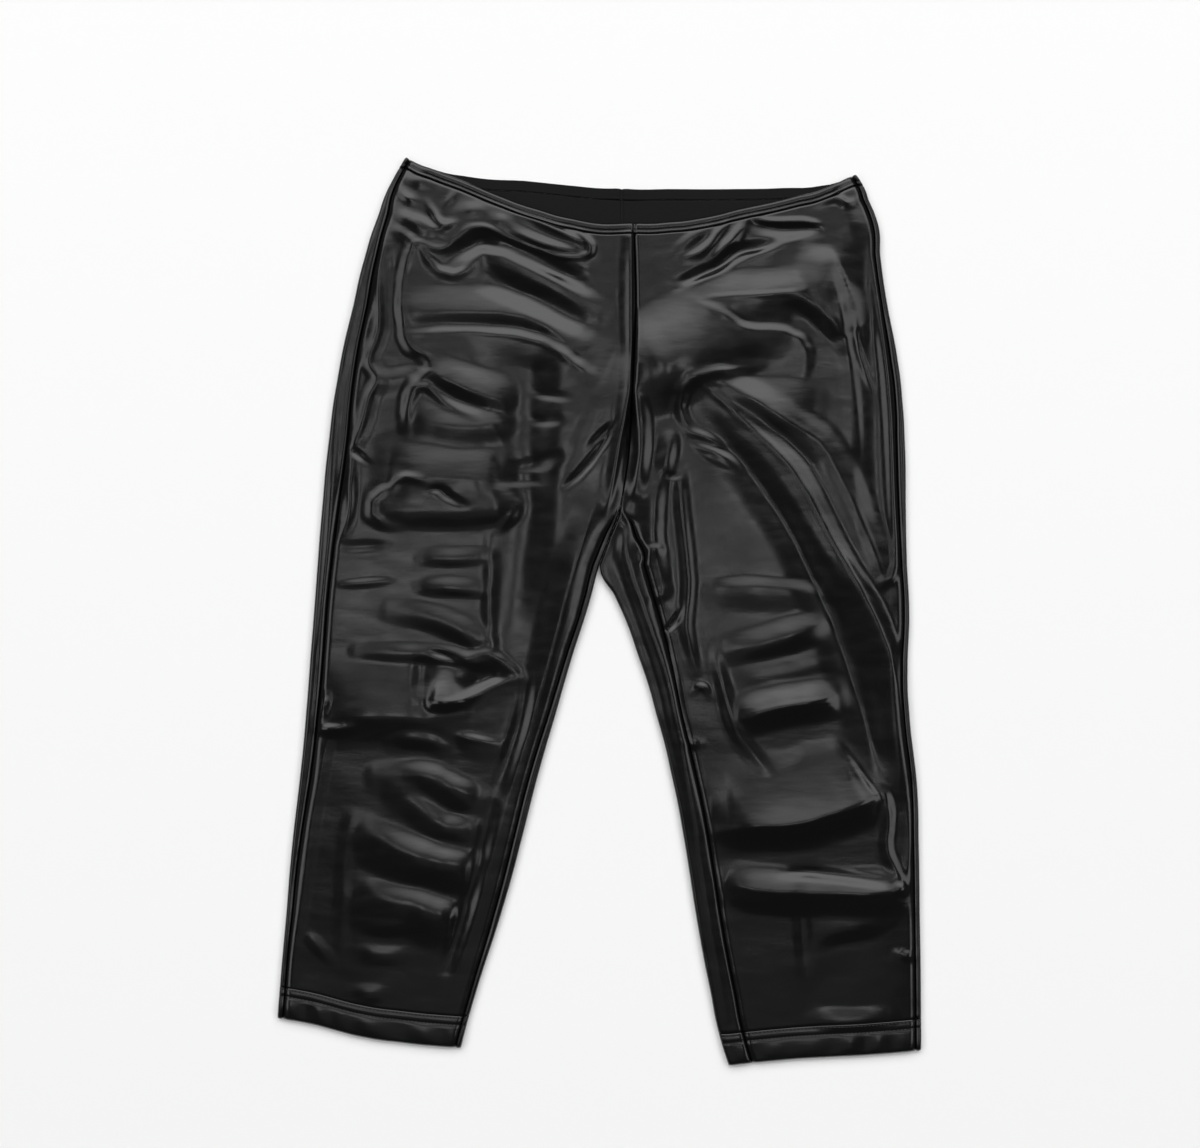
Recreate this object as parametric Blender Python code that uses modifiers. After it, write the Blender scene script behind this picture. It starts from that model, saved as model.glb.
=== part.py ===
"""Capri leggings of stretch cloth, laid flat with their front up.

Two fronts and two backs are sewn at the side seams, the inseams and the centre seams. Each leg is a flattened
tube: the back lies on the ground, rolls up round both edges of the leg, and ends on top at the seams, and the
front lies between those seams. An elastic casing runs round the waist, and a turned hem round each leg opening.

Lengths are in millimetres until a mesh is made. x runs across, towards the wearer's left; y runs up the leg
from the lowest point of the hems to the waist; z is the height above the ground. Right and left are the
wearer's. All pieces are then moved so that the origin is under the middle of their box.
"""
from collections import namedtuple

import bmesh
import bpy
import numpy as np

MM = 0.001

# Cloth
CLOTH = 1.2                # the panels' wall
CASING = 2.0               # elastic casing of the waist, wall
HEM = 2.2                  # turned hem, two layers
SEAM_GAP = 0.3             # between two pieces that are sewn together
CASING_WIDTH = 9.0
HEM_WIDTH = 27.0

# Heights of the middle of the wall
TOP_REST = 3.6             # the front, where it lies slack on the back
TOP_EDGE = 5.4             # the cloth on top of a rolled edge
TOP_LOWEST = 2.2           # the deepest crease of the front
CROTCH_TOP = 3.4           # on top of the legs' inner edges at the crotch, and in the valley above it
CROTCH_OVER = 2.0          # how much higher the fronts are where they pass over the ends of the backs

# How far in the top changes height
ROLL_FLAT = 4.0            # from a rolled edge: level this far in
ROLL_REACH = 16.0          # and slack from here on
VALLEY_REACH = 14.0        # from the centre front
WAIST_REACH = 32.0         # from the waist

# The box
LENGTH = 782.0
MIDDLE_X = -0.2
MIDDLE_Y = LENGTH / 2.0

CROTCH = 480.0             # where the four panels meet
PARTING = 431.0            # where the inner edges of the legs part
UNROLL = 21.0              # above the crotch, the back's inner edge comes down to the ground over this length

# A row for each station up a leg: where the outline's edge lies, and how far in from it the seam lies on top.
Border = namedtuple("Border", "y edge strip")

RIGHT_SIDE = (
    Border(0, -280, 4.5), Border(16, -279, 4.5), Border(60, -276, 4.5), Border(129, -270, 5),
    Border(198, -264, 7), Border(249, -258, 9), Border(301, -253, 10), Border(353, -249, 11),
    Border(404, -245, 11), Border(431, -243, 12), Border(480, -239, 14), Border(540, -233, 16),
    Border(590, -226, 14), Border(655, -212, 12), Border(697, -202, 10), Border(731, -191, 8),
    Border(765, -177, 4.5), Border(782, -167, 4.5),
)
LEFT_SIDE = (
    Border(0, 277, 4.5), Border(60, 277, 4.5), Border(129, 276, 4.5), Border(198, 275, 4.5),
    Border(235, 274, 4.5), Border(301, 267, 4.5), Border(345, 265.5, 4.5), Border(385, 267, 4.5),
    Border(431, 265, 4.5), Border(480, 264, 6), Border(540, 263, 7), Border(572, 261, 6),
    Border(607, 257, 6), Border(655, 248, 4.5), Border(697, 242, 4.5), Border(731, 238, 4.5),
    Border(745, 232, 4.5), Border(758, 227, 4.5), Border(767, 221, 4.5),
)
RIGHT_INNER = (
    Border(0, -123, 4.5), Border(16, -119, 4.5), Border(60, -107, 4.5), Border(129, -85, 6),
    Border(198, -66, 7), Border(249, -53, 7), Border(301, -38, 6), Border(353, -23, 5),
    Border(404, -7, 5), Border(431, 0, 5), Border(480, 18, 2.6),
)
LEFT_INNER = (
    Border(0, 111, 21), Border(26, 103, 21), Border(60, 96, 21), Border(129, 83, 21),
    Border(198, 72, 21), Border(249, 62, 21), Border(301, 49, 22), Border(353, 33, 27),
    Border(404, 13, 33), Border(431, 0, 38), Border(455, 9, 22), Border(480, 18, 2.6),
)

Point = namedtuple("Point", "x y")

# From where the legs part, up between them to the crotch, and on up the centre seams
CENTRE_BACK = (Point(0, 431), Point(9, 455), Point(18, 480), Point(19, 530), Point(19, 782))
CENTRE_FRONT = (Point(18, 480), Point(22, 504), Point(27, 538), Point(28, 564), Point(28, 725))
WAIST_BACK = (Point(-167, 782), Point(-162, 779), Point(-146, 773), Point(-115, 766), Point(-64, 762),
              Point(-25, 758), Point(14, 755), Point(60, 755), Point(117, 755), Point(160, 756),
              Point(192, 758), Point(206, 761), Point(215, 764.5), Point(221, 767))
WAIST_FRONT = (Point(-167, 782), Point(-162, 779), Point(-144, 771), Point(-120, 762), Point(-86, 748),
               Point(-51, 736), Point(-25, 729), Point(28, 725), Point(61, 726), Point(86, 729),
               Point(121, 737), Point(170, 748), Point(195, 755), Point(206, 760), Point(215, 764.5),
               Point(221, 767))
HEM_RIGHT = (Point(-279, 41), Point(-249, 36), Point(-206, 25), Point(-172, 20), Point(-119, 15))
HEM_LEFT = (Point(111, 0), Point(149, 4), Point(190, 7), Point(228, 9), Point(277, 13))

# A fold is a crest through some points (x, y, rise), each with its rise above the slack cloth. left and right are
# how far the fold reaches from the crest, on the left and the right hand of someone who walks along the points.
Fold = namedtuple("Fold", "name crest left right")

FOLDS_RIGHT = (
    Fold("hip_crest", ((-168, 700, 2), (-136, 704, 5), (-109, 718, 5), (-62, 707, 6), (-12, 698, 1)), 16, 22),
    Fold("hip_crest_second", ((-110, 692, 1), (-68, 688, 4), (-34, 672, 4), (-6, 655, 1)), 10, 14),
    Fold("hip_crest_low", ((-162, 648, 4), (-120, 650, 6), (-60, 646, 6), (-17, 617, 1)), 26, 20),
    Fold("hip_side", ((-163, 704, 2), (-168, 655, 4), (-166, 615, 4), (-140, 600, 1)), 18, 18),
    Fold("hip_swell", ((-165, 575, 2), (-120, 560, 4), (-80, 560, 1)), 34, 30),
    Fold("thigh_swell", ((-200, 488, 1), (-160, 492, 6), (-105, 492, 7), (-66, 484, 1)), 24, 34),
    Fold("thigh_inner", ((-92, 470, 0), (-92, 430, 4), (-91, 380, 4), (-88, 350, 1)), 16, 26),
    Fold("thigh_ripple", ((-180, 425, 1), (-140, 430, 4), (-105, 425, 2)), 16, 16),
    Fold("crotch_swell", ((-40, 600, 2), (-20, 540, 5), (-24, 470, 5), (-42, 380, 2)), 26, 20),
    Fold("knee_fold", ((-150, 352, 0), (-118, 342, 4), (-94, 326, 6), (-68, 333, 3)), 14, 20),
    Fold("knee_step", ((-238, 302, 2), (-180, 304, 6), (-130, 300, 3)), 40, 14),
    Fold("calf_upper", ((-195, 205, 1), (-146, 186, 5), (-108, 172, 2)), 18, 22),
    Fold("calf_lower", ((-197, 160, 1), (-160, 140, 4), (-120, 130, 2)), 16, 20),
    Fold("calf_inner", ((-66, 300, 1), (-88, 220, 3), (-108, 140, 3), (-130, 70, 1)), 14, 16),
)
FOLDS_LEFT = (
    Fold("waist_pinch", ((66, 668, 1), (104, 686, 4), (150, 704, 4), (170, 712, 1)), 12, 16),
    Fold("hip_crest", ((40, 640, 2), (100, 655, 5), (160, 662, 6), (205, 636, 2)), 20, 26),
    Fold("hip_side", ((208, 700, 2), (210, 640, 5), (214, 560, 5), (222, 500, 2)), 18, 22),
    Fold("big_diagonal", ((76, 588, 2), (104, 580, 7), (140, 545, 9), (172, 503, 9), (203, 457, 7),
                          (222, 415, 3)), 34, 24),
    Fold("diagonal_end", ((222, 425, 3), (240, 380, 5), (252, 310, 5), (262, 240, 2)), 16, 22),
    Fold("thigh_inner", ((66, 520, 1), (76, 460, 5), (82, 415, 5), (80, 340, 2)), 20, 14),
    Fold("thigh_ripple", ((112, 368, 2), (150, 376, 5), (196, 388, 2)), 24, 26),
    Fold("knee_ripple", ((120, 312, 2), (160, 318, 5), (200, 324, 2)), 20, 20),
    Fold("calf_swell", ((118, 226, 2), (170, 228, 6), (236, 232, 3)), 26, 22),
    Fold("calf_step", ((108, 166, 1), (160, 172, 6), (220, 168, 6), (262, 152, 2)), 20, 18),
    Fold("hem_swell", ((150, 60, 1), (200, 56, 3), (240, 60, 1)), 18, 18),
    Fold("crotch_swell", ((46, 620, 2), (40, 560, 4), (44, 500, 4), (60, 440, 2)), 18, 16),
)

# Grids: the nominal height of each row up the leg, closer where the folds are close. A front and its back have
# the same rows, so that their borders match along the seams.
ROWS = np.concatenate((np.linspace(0, 300, 15), np.linspace(319, 455, 7), (468, 477, CROTCH, 487, 494, 501),
                       np.linspace(515, 545, 3), np.linspace(558, 757, 15)))
HEM_ROWS = np.array((0.0, HEM_WIDTH))
WAIST_ROWS = np.array((LENGTH - CASING_WIDTH, LENGTH))
FRONT_COLUMNS = 12
GROUND_COLUMNS = 3
ROLL_STEPS = 3             # a rolled edge turns half round in these steps
BACK_COLUMNS = 2 * (ROLL_STEPS + 1) + GROUND_COLUMNS
UNROLL_ROOM = 0.5          # more room between the backs where they unroll
SMALL_TURN = 0.001         # radians: what is left of the turn where the cloth is flat
HEM_FADE = 180.0           # above the hem, the rows bend less and less over this length
WAIST_FADE = 210.0         # and so below the waist

COLLECTION = "capri_leggings"
BLACK_COATED = (0.012, 0.012, 0.013, 1.0)
BLACK_STITCHED = (0.020, 0.020, 0.021, 1.0)

Leg = namedtuple("Leg", "name sign side inner hem folds")
RIGHT = Leg("right", -1.0, RIGHT_SIDE, RIGHT_INNER, HEM_RIGHT, FOLDS_RIGHT)
LEFT = Leg("left", 1.0, LEFT_SIDE, LEFT_INNER, HEM_LEFT, FOLDS_LEFT)


def smoothstep(low, high, value):
    t = np.clip((value - low) / (high - low), 0.0, 1.0)
    return t * t * (3.0 - 2.0 * t)


def smooth_curve(knots, values, at):
    """A smooth curve through the values: cubic pieces whose slopes are the mean of their neighbours'."""
    knots, values = np.asarray(knots, float), np.asarray(values, float)
    slopes = np.gradient(values, knots)
    at = np.clip(np.asarray(at, float), knots[0], knots[-1])
    i = np.clip(np.searchsorted(knots, at) - 1, 0, len(knots) - 2)
    span = knots[i + 1] - knots[i]
    t = (at - knots[i]) / span
    start = values[i] + t * span * slopes[i]
    end = values[i + 1] - (1.0 - t) * span * slopes[i + 1]
    return start + (end - start) * t * t * (3.0 - 2.0 * t)


def border(stations, column, y):
    return smooth_curve([row.y for row in stations], [getattr(row, column) for row in stations], y)


def height_on(points, x):
    return smooth_curve([p.x for p in points], [p.y for p in points], x)


def across_at(points, y):
    return smooth_curve([p.y for p in points], [p.x for p in points], y)


def side_edge(leg, y):
    return border(leg.side, "edge", y)


def side_seam(leg, y):
    return side_edge(leg, y) - leg.sign * border(leg.side, "strip", y)


def inner_edge(leg, y):
    edge = np.where(y < PARTING, border(leg.inner, "edge", y), across_at(CENTRE_BACK, y))
    return edge + leg.sign * SEAM_GAP / 2.0


def inseam(leg, y):
    return inner_edge(leg, y) + leg.sign * border(leg.inner, "strip", y)


def front_inner_seam(leg, y):
    """The front's inner border: the inseam below the crotch, and the centre front above it."""
    return np.where(y < CROTCH, inseam(leg, y), across_at(CENTRE_FRONT, y))


def inner_top(y):
    """The height on top of the leg's inner edge, which sinks towards the crotch."""
    return TOP_EDGE + (CROTCH_TOP - TOP_EDGE) * smoothstep(PARTING - 20.0, CROTCH, y)


def fold_rise(fold, x, y):
    """The fold's rise at each point, from the nearest place on its crest."""
    crest = np.asarray(fold.crest, float)
    knots = np.arange(len(crest))
    fine = np.linspace(0, knots[-1], 5 * knots[-1] + 1)
    path = np.stack([smooth_curve(knots, crest[:, k], fine) for k in range(3)], axis=1)
    nearest = np.full(x.shape, np.inf)
    rise, on_left = np.zeros(x.shape), np.zeros(x.shape, bool)
    for (ax, ay, a_rise), (bx, by, b_rise) in zip(path[:-1], path[1:]):
        run_x, run_y = bx - ax, by - ay
        t = np.clip(((x - ax) * run_x + (y - ay) * run_y) / (run_x ** 2 + run_y ** 2), 0.0, 1.0)
        away = np.hypot(x - ax - t * run_x, y - ay - t * run_y)
        closer = away < nearest
        nearest = np.where(closer, away, nearest)
        rise = np.where(closer, a_rise + t * (b_rise - a_rise), rise)
        on_left = np.where(closer, run_x * (y - ay) - run_y * (x - ax) > 0.0, on_left)
    t = np.minimum(nearest / np.where(on_left, fold.left, fold.right), 1.0)
    return rise * (1.0 - t * t) ** 2


def top_height(leg, x, y):
    """The middle of the wall on top: slack cloth with its folds, and raised at the rolled edges."""
    slack = np.maximum(TOP_REST + sum(fold_rise(fold, x, y) for fold in leg.folds), TOP_LOWEST)
    below_waist = height_on(WAIST_FRONT, x) - y
    above_hem = y - height_on(leg.hem, x)
    slack = TOP_REST + (slack - TOP_REST) * smoothstep(CASING_WIDTH, WAIST_REACH, below_waist)
    slack = TOP_REST + (slack - TOP_REST) * smoothstep(HEM_WIDTH, 2.0 * HEM_WIDTH, above_hem)
    at_side = 1.0 - smoothstep(ROLL_FLAT, ROLL_REACH, np.abs(x - side_edge(leg, y)))
    z = slack + (TOP_EDGE - slack) * at_side
    from_inner = np.where(y < CROTCH, np.abs(x - inner_edge(leg, y)), ROLL_REACH)
    return z + (inner_top(y) - z) * (1.0 - smoothstep(ROLL_FLAT, ROLL_REACH, from_inner))


def front_height(leg, x, y):
    """The front sinks to the centre seam, and at the crotch it passes over the ends of the backs."""
    z = top_height(leg, x, y)
    from_seam = np.abs(x - front_inner_seam(leg, y))
    sink = 1.0 - smoothstep(1.0, VALLEY_REACH, from_seam)
    sink = sink * smoothstep(CROTCH - UNROLL, CROTCH - 3.0, y)
    over = CROTCH_OVER * (1.0 - smoothstep(0.6 * UNROLL, 1.4 * UNROLL, np.abs(y - CROTCH)))
    seam = np.where(y < CROTCH, inner_top(y), CROTCH_TOP + (TOP_REST - CROTCH_TOP) * smoothstep(600.0, 700.0, y))
    return z + (seam + over - z) * sink


def row_height(row, x, leg, waist):
    """A row's height at x: level in the middle of the leg, and bent to the hem and the waist at the ends."""
    low = np.clip(1.0 - (row - HEM_WIDTH) / HEM_FADE, 0.0, 1.0) ** 2
    high = np.clip(1.0 - (LENGTH - CASING_WIDTH - row) / WAIST_FADE, 0.0, 1.0) ** 2
    return row + height_on(leg.hem, x) * low + (height_on(waist, x) - LENGTH) * high


def coated_cloth(name, colour):
    material = bpy.data.materials.new(name + "_cloth")
    material.use_nodes = True
    shader = material.node_tree.nodes["Principled BSDF"]
    shader.inputs["Base Color"].default_value = colour
    shader.inputs["Roughness"].default_value = 0.25
    shader.inputs["Metallic"].default_value = 0.0
    return material


def add_sheet(name, columns, rows, place, wall, colour):
    """An open grid whose points place(column, row) gives, thickened to the wall."""
    bm = bmesh.new()
    bmesh.ops.create_grid(bm, x_segments=columns, y_segments=len(rows) - 1, size=1.0)
    flat = np.array([vert.co[:2] for vert in bm.verts])
    column = np.rint((flat[:, 0] + 1.0) / 2.0 * columns).astype(int)
    row = np.rint((flat[:, 1] + 1.0) / 2.0 * (len(rows) - 1)).astype(int)
    x, y, z = place(column, rows[row])
    for vert, px, py, pz in zip(bm.verts, x, y, z):
        vert.co = ((px - MIDDLE_X) * MM, (py - MIDDLE_Y) * MM, pz * MM)
    mesh = bpy.data.meshes.new(name)
    bm.to_mesh(mesh)
    bm.free()
    mesh.shade_smooth()
    mesh.materials.append(coated_cloth(name, colour))
    piece = bpy.data.objects.new(name, mesh)
    bpy.data.collections[COLLECTION].objects.link(piece)
    solid = piece.modifiers.new("wall", "SOLIDIFY")
    solid.thickness = wall * MM
    solid.offset = 0.0
    solid.use_even_offset = True


def front_place(leg, column, row):
    """Points of the front: column 0 is at the inner seam, and the last one at the side seam."""
    across = column / FRONT_COLUMNS
    y = row.astype(float)
    for _ in range(4):
        inner = front_inner_seam(leg, y) + leg.sign * SEAM_GAP / 2.0
        side = side_seam(leg, y) - leg.sign * SEAM_GAP / 2.0
        x = inner + (side - inner) * across
        y = row_height(row, x, leg, WAIST_FRONT)
    return x, y, front_height(leg, x, y)


def roll(start_x, inward, middle, radius, angle):
    """A point of the cloth that leaves the ground at start_x and has turned by the angle."""
    return start_x - inward * radius * np.sin(angle), middle + radius * (1.0 - np.cos(angle))


def side_part(leg, y, step, wall):
    """The back at the side: steps 0 to ROLL_STEPS on the roll, and the next one at the side seam."""
    radius = (TOP_EDGE - wall / 2.0) / 2.0
    start_x = side_edge(leg, y) - leg.sign * (wall / 2.0 + radius)
    x, z = roll(start_x, -leg.sign, wall / 2.0, radius, np.pi * np.minimum(step, ROLL_STEPS) / ROLL_STEPS)
    seam = side_seam(leg, y) + leg.sign * SEAM_GAP / 2.0
    on_top = step > ROLL_STEPS
    return np.where(on_top, seam, x), np.where(on_top, top_height(leg, seam, y), z)


def inner_part(leg, y, step, wall):
    """The back at the leg's inner edge, as at the side. Above the crotch it unrolls to the flat centre seam."""
    below = np.minimum(y, CROTCH - 0.01)
    tight = (inner_top(below) - wall / 2.0) / 2.0
    strip = np.abs(inseam(leg, below) - inner_edge(leg, below)) - SEAM_GAP / 2.0 - wall / 2.0 - tight
    turn = np.pi * (1.0 - smoothstep(CROTCH, CROTCH + UNROLL, y)) + SMALL_TURN
    radius = np.pi * tight / turn
    quarter = np.minimum(turn, np.pi / 2.0)
    room = wall / 2.0 + UNROLL_ROOM * (y > CROTCH)
    reach = (radius + room) * np.sin(quarter) + strip * np.cos(quarter)
    start_x = inner_edge(leg, y) + leg.sign * reach
    x, z = roll(start_x, leg.sign, wall / 2.0, radius, turn * np.minimum(step, ROLL_STEPS) / ROLL_STEPS)
    on_top = step > ROLL_STEPS
    end_x, end_z = x - leg.sign * strip * np.cos(turn), z + strip * np.sin(turn)
    seam = inseam(leg, y) - leg.sign * SEAM_GAP / 2.0
    end_z = np.where(y < CROTCH, top_height(leg, seam, below), end_z)
    return np.where(on_top, end_x, x), np.where(on_top, end_z, z)


def back_place(leg, column, row, wall):
    """Points of the back, from the inner seam round the inner edge, over the ground and round the side."""
    turned = ROLL_STEPS + 1
    last = BACK_COLUMNS
    across = np.clip((column - turned) / GROUND_COLUMNS, 0.0, 1.0)
    y = row.astype(float)
    for _ in range(4):
        inner_x, inner_z = inner_part(leg, y, np.clip(turned - column, 0, turned), wall)
        side_x, side_z = side_part(leg, y, np.clip(column - last + turned, 0, turned), wall)
        x = inner_x + (side_x - inner_x) * across
        y = row_height(row, x, leg, WAIST_BACK)
    return x, y, inner_z + (side_z - inner_z) * across


def waist_place(half, columns, column, row):
    """Points of the casing, with the columns of the two panels below it: half(leg, column, row) gives those."""
    right = half(RIGHT, np.clip(columns - column, 0, columns), row)
    left = half(LEFT, np.clip(column - columns - 1, 0, columns), row)
    return [np.where(column <= columns, a, b) for a, b in zip(right, left)]


def between(rows, low, high):
    """The rows between two borders, with the borders themselves."""
    inside = rows[(rows > low + 2.0) & (rows < high - 2.0)]
    return np.concatenate(((low,), inside, (high,)))


def add_leg(leg):
    panel_rows = between(ROWS, HEM_WIDTH + SEAM_GAP, LENGTH - CASING_WIDTH - SEAM_GAP)

    def front(column, row):
        return front_place(leg, column, row)

    def back(wall):
        return lambda column, row: back_place(leg, column, row, wall)

    add_sheet("front_" + leg.name, FRONT_COLUMNS, panel_rows, front, CLOTH, BLACK_COATED)
    add_sheet("back_" + leg.name, BACK_COLUMNS, panel_rows, back(CLOTH), CLOTH, BLACK_COATED)
    add_sheet("hem_front_" + leg.name, FRONT_COLUMNS, HEM_ROWS, front, HEM, BLACK_STITCHED)
    add_sheet("hem_back_" + leg.name, BACK_COLUMNS, HEM_ROWS, back(HEM), HEM, BLACK_STITCHED)


def add_waist():
    def front(column, row):
        return waist_place(front_place, FRONT_COLUMNS, column, row)

    def back(column, row):
        return waist_place(lambda leg, c, r: back_place(leg, c, r, CASING), BACK_COLUMNS, column, row)

    add_sheet("waist_front", 2 * FRONT_COLUMNS + 1, WAIST_ROWS, front, CASING, BLACK_STITCHED)
    add_sheet("waist_back", 2 * BACK_COLUMNS + 1, WAIST_ROWS, back, CASING, BLACK_STITCHED)


def main():
    for old in list(bpy.data.objects):
        bpy.data.objects.remove(old, do_unlink=True)
    collection = bpy.data.collections.new(COLLECTION)
    bpy.context.scene.collection.children.link(collection)
    for leg in (RIGHT, LEFT):
        add_leg(leg)
    add_waist()


main()
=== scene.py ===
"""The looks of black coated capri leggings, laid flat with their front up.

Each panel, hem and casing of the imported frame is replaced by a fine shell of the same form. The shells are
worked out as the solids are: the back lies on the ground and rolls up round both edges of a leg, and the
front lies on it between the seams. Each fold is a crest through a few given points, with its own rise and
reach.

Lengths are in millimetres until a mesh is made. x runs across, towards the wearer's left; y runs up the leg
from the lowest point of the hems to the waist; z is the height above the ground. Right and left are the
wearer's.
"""
from collections import namedtuple
from functools import partial

import bpy
import numpy as np
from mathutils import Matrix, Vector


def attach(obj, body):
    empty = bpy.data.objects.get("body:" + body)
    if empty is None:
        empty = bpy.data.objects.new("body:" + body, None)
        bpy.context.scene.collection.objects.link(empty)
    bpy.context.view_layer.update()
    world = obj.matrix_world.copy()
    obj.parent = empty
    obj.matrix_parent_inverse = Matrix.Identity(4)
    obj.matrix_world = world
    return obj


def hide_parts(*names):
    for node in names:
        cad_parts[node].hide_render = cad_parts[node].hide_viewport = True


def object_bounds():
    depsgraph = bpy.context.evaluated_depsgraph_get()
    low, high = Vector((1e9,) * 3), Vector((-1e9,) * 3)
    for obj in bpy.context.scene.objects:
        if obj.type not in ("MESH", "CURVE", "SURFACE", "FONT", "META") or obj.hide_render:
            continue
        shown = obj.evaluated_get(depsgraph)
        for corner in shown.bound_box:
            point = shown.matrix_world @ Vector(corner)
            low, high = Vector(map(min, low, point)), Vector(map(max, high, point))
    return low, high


MM = 0.001

# Cloth
CLOTH = 1.0            # the panels' wall
CASING = 1.6           # elastic casing of the waist, wall
HEM = 1.8              # turned hem, two layers
SEAM_GAP = 0.3         # between two pieces that are sewn together
BACK_GAP = 0.06        # and between the two backs at their centre seam, pressed flat on the ground
CASING_WIDTH = 9.0
HEM_WIDTH = 27.0

# Heights of the outer face
TOP_REST = 6.0         # the front, where it lies slack on the back
TOP_EDGE = 6.0         # the cloth on top of a rolled edge
TOP_LOWEST = 2.9       # the deepest crease of the front
CROTCH_TOP = 4.0       # on top of the legs' inner edges at the crotch
CROTCH_OVER = 1.6      # how much higher the fronts are where they pass over the ends of the backs
SLACK_BLEND = 0.4      # how gently a crease levels off where it is deepest
SIDE_FOLDS = 0.35      # the share of a fold's rise that is left on the side's rolled edge
INNER_FOLDS = 0.6      # and on the leg's inner edge

# How far in the top changes height
ROLL_FLAT = 4.0        # from a rolled edge: level this far in
ROLL_REACH = 16.0      # and slack from here on
WAIST_LEVEL = 2.0      # from the waist: without folds this far down
WAIST_REACH = 13.0     # and with whole folds from here on
RISE_START = 560.0     # from this height on, the front rises towards the waist
RISE_BEND = 0.00007    # mm of rise for each square mm
RISE_ROOM = 14.0       # and comes down to the side over this much more

# The box
LENGTH = 782.0
MIDDLE_X = -0.2
MIDDLE_Y = LENGTH / 2.0

CROTCH = 480.0         # where the four panels meet
PARTING = 431.0        # where the inner edges of the legs part
UNROLL = 21.0          # above the crotch, the back's inner edge comes down to the ground over this length
JUST_BELOW = 0.01      # the last place of the inseam, this far below the crotch
SINK_START = PARTING - 20.0  # from here to the crotch, the legs' inner edges sink
INNER_FADE = CROTCH - 30.0  # and from here on they shape the front less and less
CENTRE_FROM = CROTCH - 3.0  # from here on up, the front dips as at the centre seam
BORDER_LOW, BORDER_HIGH = CROTCH - 14.0, CROTCH + 2.0  # its border passes from inseam to centre seam
OPEN_UNTIL, CLOSED_FROM = 520.0, 585.0  # up here the centre seam closes
OVER_NEAR, OVER_FAR = 0.6 * UNROLL, 1.4 * UNROLL  # so far from the crotch the fronts pass over the backs


def table(kind, *rows):
    """The rows of a table, whose columns are named as the kind's."""
    return tuple(kind(*row) for row in rows)


# A row for each station up a leg: where the outline's edge lies, and how far in from it the seam lies on top.
Border = namedtuple("Border", "y edge strip")

RIGHT_SIDE = table(
    Border, (0, -280, 4.5), (16, -279, 4.5), (60, -276, 4.5), (129, -270, 5), (198, -264, 7), (249, -258, 9),
    (301, -253, 10), (353, -249, 11), (404, -245, 11), (431, -243, 12), (480, -239, 14), (540, -233, 16),
    (590, -226, 14), (655, -212, 12), (697, -202, 10), (731, -191, 8), (765, -177, 4.5), (782, -167, 4.5))
LEFT_SIDE = table(
    Border, (0, 277, 4.5), (60, 277, 4.5), (129, 276, 4.5), (198, 275, 4.5), (235, 274, 4.5), (301, 267, 4.5),
    (345, 265.5, 4.5), (385, 267, 4.5), (431, 265, 4.5), (480, 264, 6), (540, 263, 7), (572, 261, 6),
    (607, 257, 6), (655, 248, 4.5), (697, 242, 4.5), (731, 238, 4.5), (745, 232, 4.5), (758, 227, 4.5),
    (767, 221, 4.5))
RIGHT_INNER = table(
    Border, (0, -123, 4.5), (16, -119, 4.5), (60, -107, 4.5), (129, -85, 6), (198, -66, 7), (249, -53, 7),
    (301, -38, 6), (353, -23, 5), (404, -7, 5), (431, 0, 5), (480, 18, 2.6))
LEFT_INNER = table(
    Border, (0, 111, 21), (26, 103, 21), (60, 96, 21), (129, 83, 21), (198, 72, 21), (249, 62, 21),
    (301, 49, 22), (353, 33, 27), (404, 13, 33), (431, 0, 38), (455, 9, 22), (480, 18, 2.6))

Point = namedtuple("Point", "x y")

# From where the legs part, up between them to the crotch, and on up the centre seams
CENTRE_BACK = table(Point, (0, 431), (9, 455), (18, 480), (19, 530), (19, 782))
CENTRE_FRONT = table(Point, (18, 480), (22, 504), (26, 538), (27, 564), (29.5, 600), (30, 725))
WAIST_BACK = table(
    Point, (-167, 782), (-162, 779), (-146, 773), (-115, 766), (-64, 762), (-25, 758), (14, 755), (60, 755),
    (117, 755), (160, 756), (192, 758), (206, 761), (215, 764.5), (221, 767))
WAIST_FRONT = table(
    Point, (-167, 782), (-162, 779), (-144, 771), (-120, 762), (-86, 748), (-51, 736), (-25, 729), (28, 725),
    (61, 726), (86, 729), (121, 737), (170, 748), (195, 755), (206, 760), (215, 764.5), (221, 767))
HEM_RIGHT = table(Point, (-279, 41), (-249, 36), (-206, 25), (-172, 20), (-119, 15))
HEM_LEFT = table(Point, (111, 0), (149, 4), (190, 7), (228, 9), (277, 13))

# A fold is a crest along a path of (x, y, rise) points; a crease is a fold with negative rises. left and
# right are how far it reaches on the left and the right hand of someone who walks along the path, and keen is
# how sharp its crest is, from 0 to 1. A rim is a narrow rounded bead along the crest.
Fold = namedtuple("Fold", "name left right keen path rim", defaults=(0.0,))

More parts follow.
